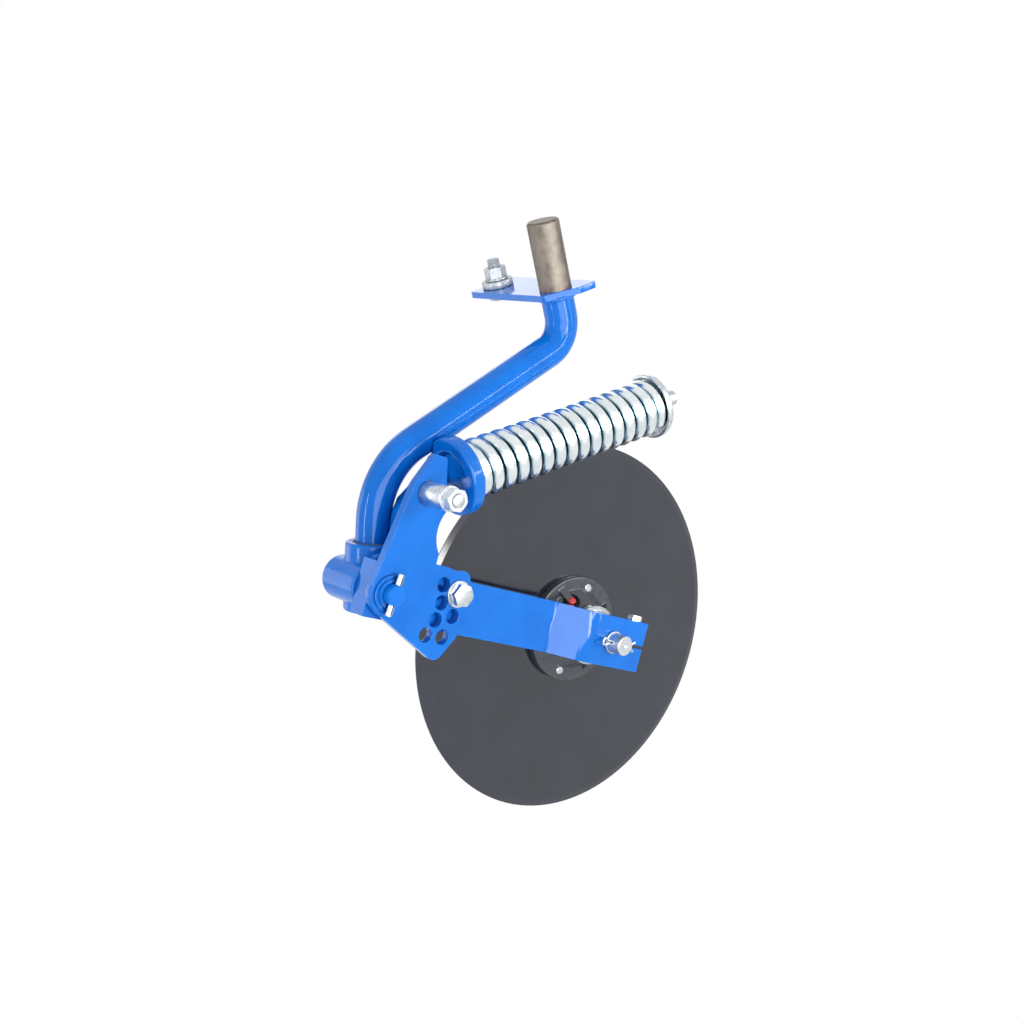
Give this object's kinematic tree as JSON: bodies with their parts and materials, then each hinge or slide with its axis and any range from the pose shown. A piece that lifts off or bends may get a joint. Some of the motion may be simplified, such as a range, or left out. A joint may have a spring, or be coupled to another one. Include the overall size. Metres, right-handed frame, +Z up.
{
  "type": "spring-cushioned disc opener",
  "caption": "Flat disc blade on a ball-bearing hub, carried by a jogged trailing arm that pivots on a bent round shank and is held down by a compression spring.",
  "frame": {"origin": "on the axis of the shank's upright stub, at the upper face of the stop plate", "axes": "+Z up along the stub, +X to the rear where the disc trails, +Y along the disc's axle away from the side plate"},
  "size_m": [0.6478, 0.3123, 0.8774],
  "materials": {
    "blue_paint": "gloss",
    "zinc_plate": "satin zinc plate",
    "machined_steel": "satin",
    "bronze_bush": "satin",
    "black_paint": "semi-gloss",
    "black_casting": "semi-gloss paint",
    "black_rubber": "matt",
    "brass_fitting": "satin",
    "red_plastic": "satin"
  },
  "bodies": {
    "casting": {"shank": "blue_paint", "stop_plate": "blue_paint", "stop_bolt": "zinc_plate", "stop_collar": "zinc_plate", "stop_washer": "zinc_plate", "stop_nut": "zinc_plate", "pivot_casting": "blue_paint", "pivot_bushes": "bronze_bush"},
    "arm": {"side_plate": "blue_paint", "arm": "blue_paint", "pivot_pin": "blue_paint", "pivot_wear_washer": "blue_paint", "pivot_washer": "blue_paint", "pivot_roll_pin": "zinc_plate", "arm_bolt": "zinc_plate", "arm_bolt_washer": "zinc_plate", "arm_bolt_nut": "zinc_plate", "rod_bolt": "zinc_plate", "rod_bolt_sleeve": "zinc_plate", "rod_bolt_washers": "zinc_plate", "rod_bolt_nut": "zinc_plate", "spindle": "zinc_plate", "spindle_washer": "zinc_plate", "spindle_cotter": "zinc_plate", "clamp_bolt": "zinc_plate", "spindle_nut": "machined_steel", "spindle_nut_washer": "machined_steel", "bearing_cones": "machined_steel"},
    "rod": {"spring_rod": "zinc_plate", "rod_collar": "blue_paint", "spring_cup": "zinc_plate", "rod_nut": "zinc_plate", "spring": "zinc_plate"},
    "disc": {"disc_blade": "black_paint", "hub": "black_casting", "hub_bolts": "zinc_plate", "hub_bolt_washers": "zinc_plate", "bearing_cups": "machined_steel", "bearing_rollers": "machined_steel", "grease_seal": "black_rubber", "seal_guard": "zinc_plate", "dust_cap": "black_paint", "grease_fitting": "brass_fitting", "grease_cap": "red_plastic"}
  },
  "joints": [
    {"name": "arm_swing", "type": "hinge", "parent": "casting", "child": "arm", "pos_m": [-0.429, 0, -0.2777], "axis": [0, -1, 0], "range_deg": [0, 15], "stiffness_Nm_per_rad": 700, "springref_deg": -8.59},
    {"name": "rod_pivot", "type": "hinge", "parent": "arm", "child": "rod", "pos_m": [-0.33757, -0.0631, -0.17229], "axis": [0, -1, 0], "range_deg": [-26, 0], "deforming": ["spring"]},
    {"name": "disc_spin", "type": "hinge", "parent": "arm", "child": "disc", "pos_m": [-0.10163, 0, -0.49801], "axis": [0, 1, 0], "continuous": true}
  ],
  "couplings": [
    {"joint": "rod_pivot", "follows": "arm_swing", "ratio": -1.7}
  ]
}
